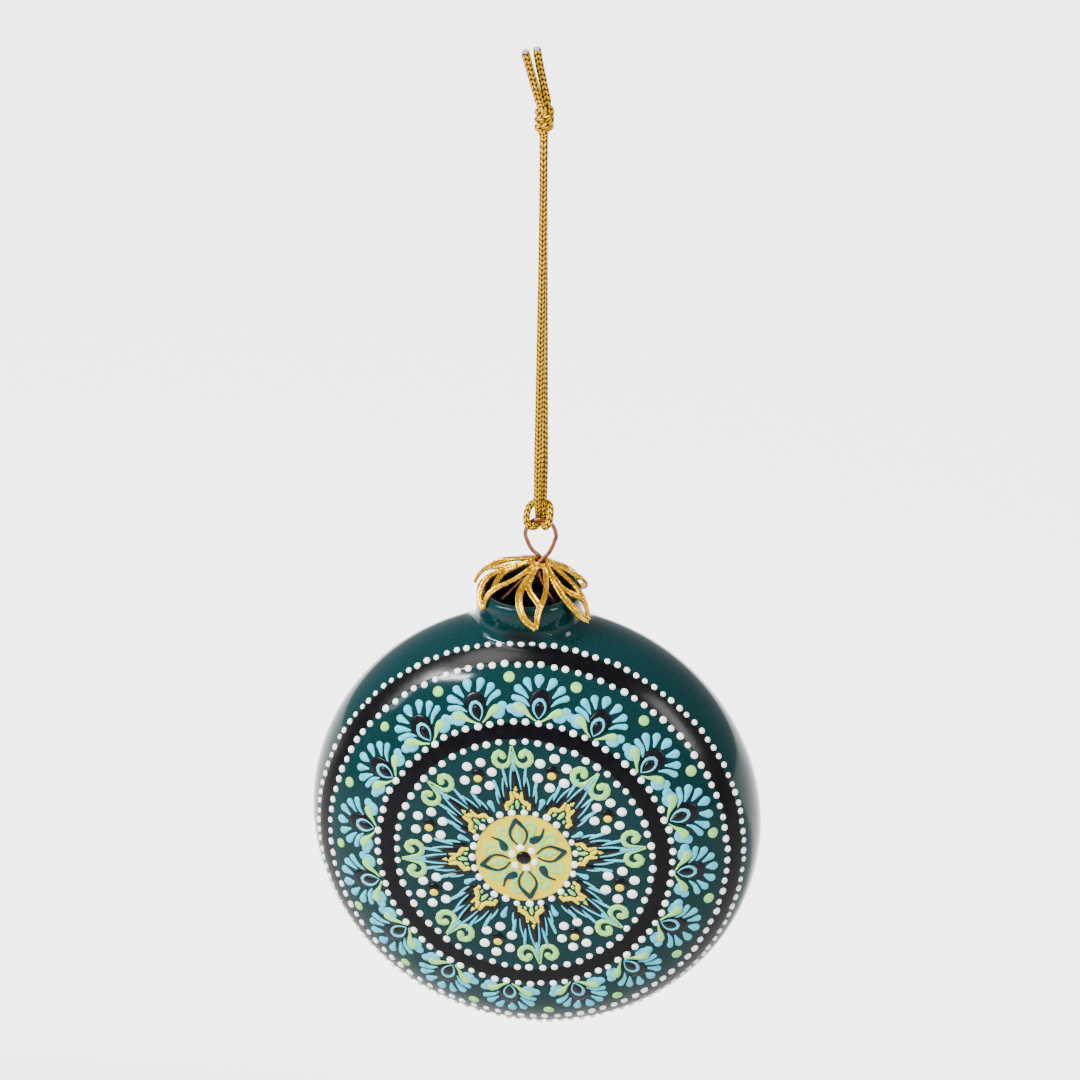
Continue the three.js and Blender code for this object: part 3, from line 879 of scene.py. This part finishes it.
cap_parts = []
for petal_turn in petal_directions:
    turn = math.radians(petal_turn)
    for points, half_widths in ribs.values():
        cap_parts.append(flat_rib(points, half_widths, turn))
hub_steps = 48
hub_turn = np.linspace(0, 2 * math.pi, hub_steps, endpoint=False)
hub_section = np.array(rib_section)
hub_sides = len(hub_section)
collar = 1.6 + 0.62 * hub_section[:, 0]
collar_height = np.broadcast_to(1.15 * hub_section[:, 1] - 0.5, (hub_steps, hub_sides))
hub = np.stack(
    [np.outer(np.cos(hub_turn), collar), np.outer(np.sin(hub_turn), collar), collar_height], axis=-1
) * mm
hub_faces = []
for i in range(hub_steps):
    after = (i + 1) % hub_steps
    for j in range(hub_sides):
        k = (j + 1) % hub_sides
        hub_faces.append((i * hub_sides + j, i * hub_sides + k, after * hub_sides + k, after * hub_sides + j))
cap_parts.append((list(hub.reshape(-1, 3)), hub_faces))
blank = add_object("cap_blank", *joined(cap_parts))
cap_mesh = remeshed(blank.data, 0.1 * mm)
bpy.data.objects.remove(blank)

# The flat blank is formed: a rounded hub, a cone, and then the petals' outer parts bent down round the lip.
flat = vertices_of(cap_mesh) / mm
out = np.hypot(flat[:, 0], flat[:, 1])
petal_at = np.arctan2(flat[:, 1], flat[:, 0])
bend_from = cone_reach + 0.3 * np.sin(2 * petal_at + 3.2) + 0.15 * np.sin(3 * petal_at)
over = np.maximum(out - bend_from, 0) / bend_radius
hub_radius = hub_reach / cone
at_hub = np.minimum(out, hub_reach) / hub_radius
on_cone = np.clip(out, hub_reach, bend_from) - hub_reach
lean = at_hub + over
depth = cap_thickness - flat[:, 2]
r = hub_radius * np.sin(at_hub) + on_cone * math.cos(cone)
r += bend_radius * (np.sin(cone + over) - math.sin(cone)) - depth * np.sin(lean)
z = hub_height - hub_radius * (1 - np.cos(at_hub)) - on_cone * math.sin(cone)
z -= bend_radius * (math.cos(cone) - np.cos(cone + over)) + depth * np.cos(lean)
domed = np.stack([flat[:, 0] / out * r, flat[:, 1] / out * r, z], axis=1) * mm
tilt = np.array(Matrix.Rotation(cap_tilt, 3, "Y"))
set_vertices(cap_mesh, domed @ tilt.T + np.array(cap_joint["pos_m"]))
cap = bpy.data.objects.new("gilt_petal_cap", cap_mesh)
bpy.context.scene.collection.objects.link(cap)

gilt, place = Signal.material("gilt")
grain = Signal.make("ShaderNodeTexVoronoi", {"Vector": place, "Scale": 3300})
tone = Signal.noise(place, 900, 3).above(0.3, 0.72)
grains = Signal.make("ShaderNodeBump", {"Height": grain * 1.0, "Strength": 0.5, "Distance": 0.1 * mm})
gold = tone.blend((0.7, 0.33, 0.0, 1), (1.0, 0.6, 0.01, 1))
# Painted shade: the gold is darker in the crevices between the grains.
gold = (grain.above(0.35, 0.7) * 0.4).blend(gold, (0.2, 0.06, 0.0, 1))
cap_mesh.materials.append(
    Signal.finish(gilt, Base_Color=gold, Metallic=1.0, Roughness=0.22 + tone * 0.12, Normal=grains)
)
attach(cap, "cap")
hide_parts("petal_cap")


# ======================================================================= Cord
# One metallic braided cord, doubled: hitched to the wire loop with a lark's head, laid over the branch and
# tied on top with its two ends together. Each half is modelled from the middle of the hitch's bar to its
# own cut end, which is melted so that it doesn't fray.
cord_radius = 0.7 * mm
stitch_pitch = 0.85 * mm
stitch_columns = 8
stitch_depth = 0.15 * mm
braid_sides = 40
knot_x = 0.1
knot_radius = 0.92
knot_low = 68.2
knot_rise = 0.3
knot_swing = 42


def knot_turns(bearing):
    """A little over one wrap of a half round the other, in millimetres, from a bearing in degrees."""
    turns = []
    for step in range(11):
        angle = math.radians(bearing + knot_swing * step)
        across = knot_x + knot_radius * math.cos(angle)
        turns.append((across, knot_radius * math.sin(angle), knot_low + knot_rise * step))
    return turns


# Each half's route from the top of the wire loop, in millimetres: round the hitch, up the strand, through the
# knot and out along the tail.
left_route = [
    (0.05, 1.45, 2.3), (-0.9, 1.25, 2.45), (-1.75, 0.45, 2.2), (-2.15, -0.45, 1.4), (-2.2, -0.95, 0.35),
    (-1.95, -1.05, -0.6), (-1.25, -0.75, -1.15), (-0.7, 0.1, -1.2), (-0.55, 0.9, -0.5), (-0.52, 0.95, 0.5),
    (-0.5, 0.25, 1.6), (-0.52, -0.3, 3.0),
]
left_route += [
    (-0.5, -0.75, 4.4), (-0.4, -0.95, 10.2), (-0.05, -2.0, 24.2), (0.34, -3.0, 44.2), (0.53, -3.6, 58.2),
    (0.57, -3.85, 63.05), (0.42, -2.73, 65.78), (0.2, -1.2, 66.8), (-0.15, -0.75, 67.7),
]
left_route += knot_turns(200)
left_route += [(-0.6, -0.3, 72.3), (-1.4, -0.45, 75.2), (-2.3, -0.5, 78.4), (-3.0, -0.5, 81.0)]
right_route = [
    (-0.05, 1.45, 2.3), (0.7, 1.25, 2.5), (1.35, 0.5, 2.3), (1.62, -0.4, 1.55), (1.6, -0.95, 0.6),
    (1.35, -1.05, -0.3), (0.9, -0.8, -0.95), (0.55, 0.05, -1.15), (0.5, 0.9, -0.5), (0.5, 0.95, 0.5),
    (0.45, 0.5, 1.6), (0.3, 0.3, 3.0),
]
right_route += [
    (0.34, 0.75, 4.4), (0.34, 0.95, 10.2), (0.08, 2.0, 24.2), (-0.24, 3.0, 44.2), (-0.43, 3.6, 58.2),
    (-0.47, 3.85, 63.05), (-0.3, 2.73, 65.78), (-0.05, 1.2, 66.8), (0.3, 0.75, 67.7),
]
right_route += knot_turns(20)
right_route += [(0.4, 0.7, 72.3), (-0.2, 0.8, 75.2), (-0.85, 0.8, 78.4), (-1.3, 0.8, 81.1)]


def stitches(gone, turn):
    """How far into the braid's V-shaped stitches a point of the cord is: 1 on their crowns, 0 between."""
    column = turn * stitch_columns / (2 * math.pi)
    across = column % 1 - 0.5
    slant = np.where(column.astype(int) % 2 == 0, 1, -1)
    along_stitch = (gone / stitch_pitch + 0.75 * slant * across) % 1 - 0.5
    crown = np.sqrt(1 - 0.96 * (2 * along_stitch) ** 2)
    return crown * (1 - 0.55 * (2 * across) ** 4)


def half_cord(name, route, replaced, slimmer_until):
    """One half of the cord. It is pressed a little slimmer in the hitch than along the strand."""
    line = even_line(np.array(route) * mm + np.array(loop_top), 0.1 * mm)
    gone = np.concatenate([[0], np.cumsum(np.linalg.norm(np.diff(line, axis=0), axis=1))])
    total = gone[-1]

    def radius_at(distance, turn):
        pressed = 0.86 + 0.14 * np.clip((distance - slimmer_until) / (6 * mm), 0, 1)
        to_end = total - distance
        melted = np.sqrt(1 - (1 - np.clip(to_end / (0.45 * mm), 0.02, 1)) ** 2)
        relief = stitch_depth * (1 - stitches(distance, turn)) * np.clip(to_end / (0.7 * mm), 0, 1)
        return (cord_radius * pressed - relief) * melted

    rings, _ = swept(line, radius_at, braid_sides)
    made = add_object(name, *tube_of(rings, [line[0], line[-1]]), cord_material)
    turn = np.linspace(0, 2 * math.pi, braid_sides, endpoint=False)
    # The depth between stitches is kept for the painted shade in the gaps.
    stitch_gap_shade = np.append((1 - stitches(gone[:, None], turn[None])).ravel(), [0, 0])
    melt = np.append(np.repeat(np.clip(1 - (total - gone) / (0.5 * mm), 0, 1), braid_sides), [0, 1])
    for label, values in (("stitch_gap_shade", stitch_gap_shade), ("melt", melt)):
        made.data.attributes.new(label, "FLOAT", "POINT").data.foreach_set("value", values)
    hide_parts(*replaced)
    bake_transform(made)


cord_material, place = Signal.material("gold_cord")
stitch_gap_shade = Signal.make("ShaderNodeAttribute", output=2, attribute_name="stitch_gap_shade")
melt = Signal.make("ShaderNodeAttribute", output=2, attribute_name="melt")
tone = Signal.noise(place, 1500, 3).above(0.3, 0.7)
thread = tone.blend((0.6, 0.32, 0.0, 1), (0.86, 0.52, 0.0, 1))
# Painted shade: the gaps between the braid's stitches are painted dark brown.
thread = stitch_gap_shade.above(0.1, 0.4).blend(thread, (0.045, 0.006, 0.0, 1))
thread = melt.above(0.1, 0.5).blend(thread, (0.3, 0.29, 0.32, 1))
fibre = Signal.make("ShaderNodeBump", {"Height": Signal.noise(place, 9000, 2), "Strength": 0.25,
                                       "Distance": 0.05 * mm})
Signal.finish(
    cord_material,
    Base_Color=thread,
    Metallic=0.05,
    Roughness=0.4 + stitch_gap_shade * 0.3,
    Specular_IOR_Level=0.12,
    Normal=fibre,
)

left_nodes = ["cord_front_strand", "cord_left_tail", "cord_hitch", "cord_knot"]
right_nodes = ["cord_back_strand", "cord_right_tail"]
half_cord("cord_left", left_route, left_nodes, slimmer_until=14 * mm)
half_cord("cord_right", right_route, right_nodes, slimmer_until=12 * mm)
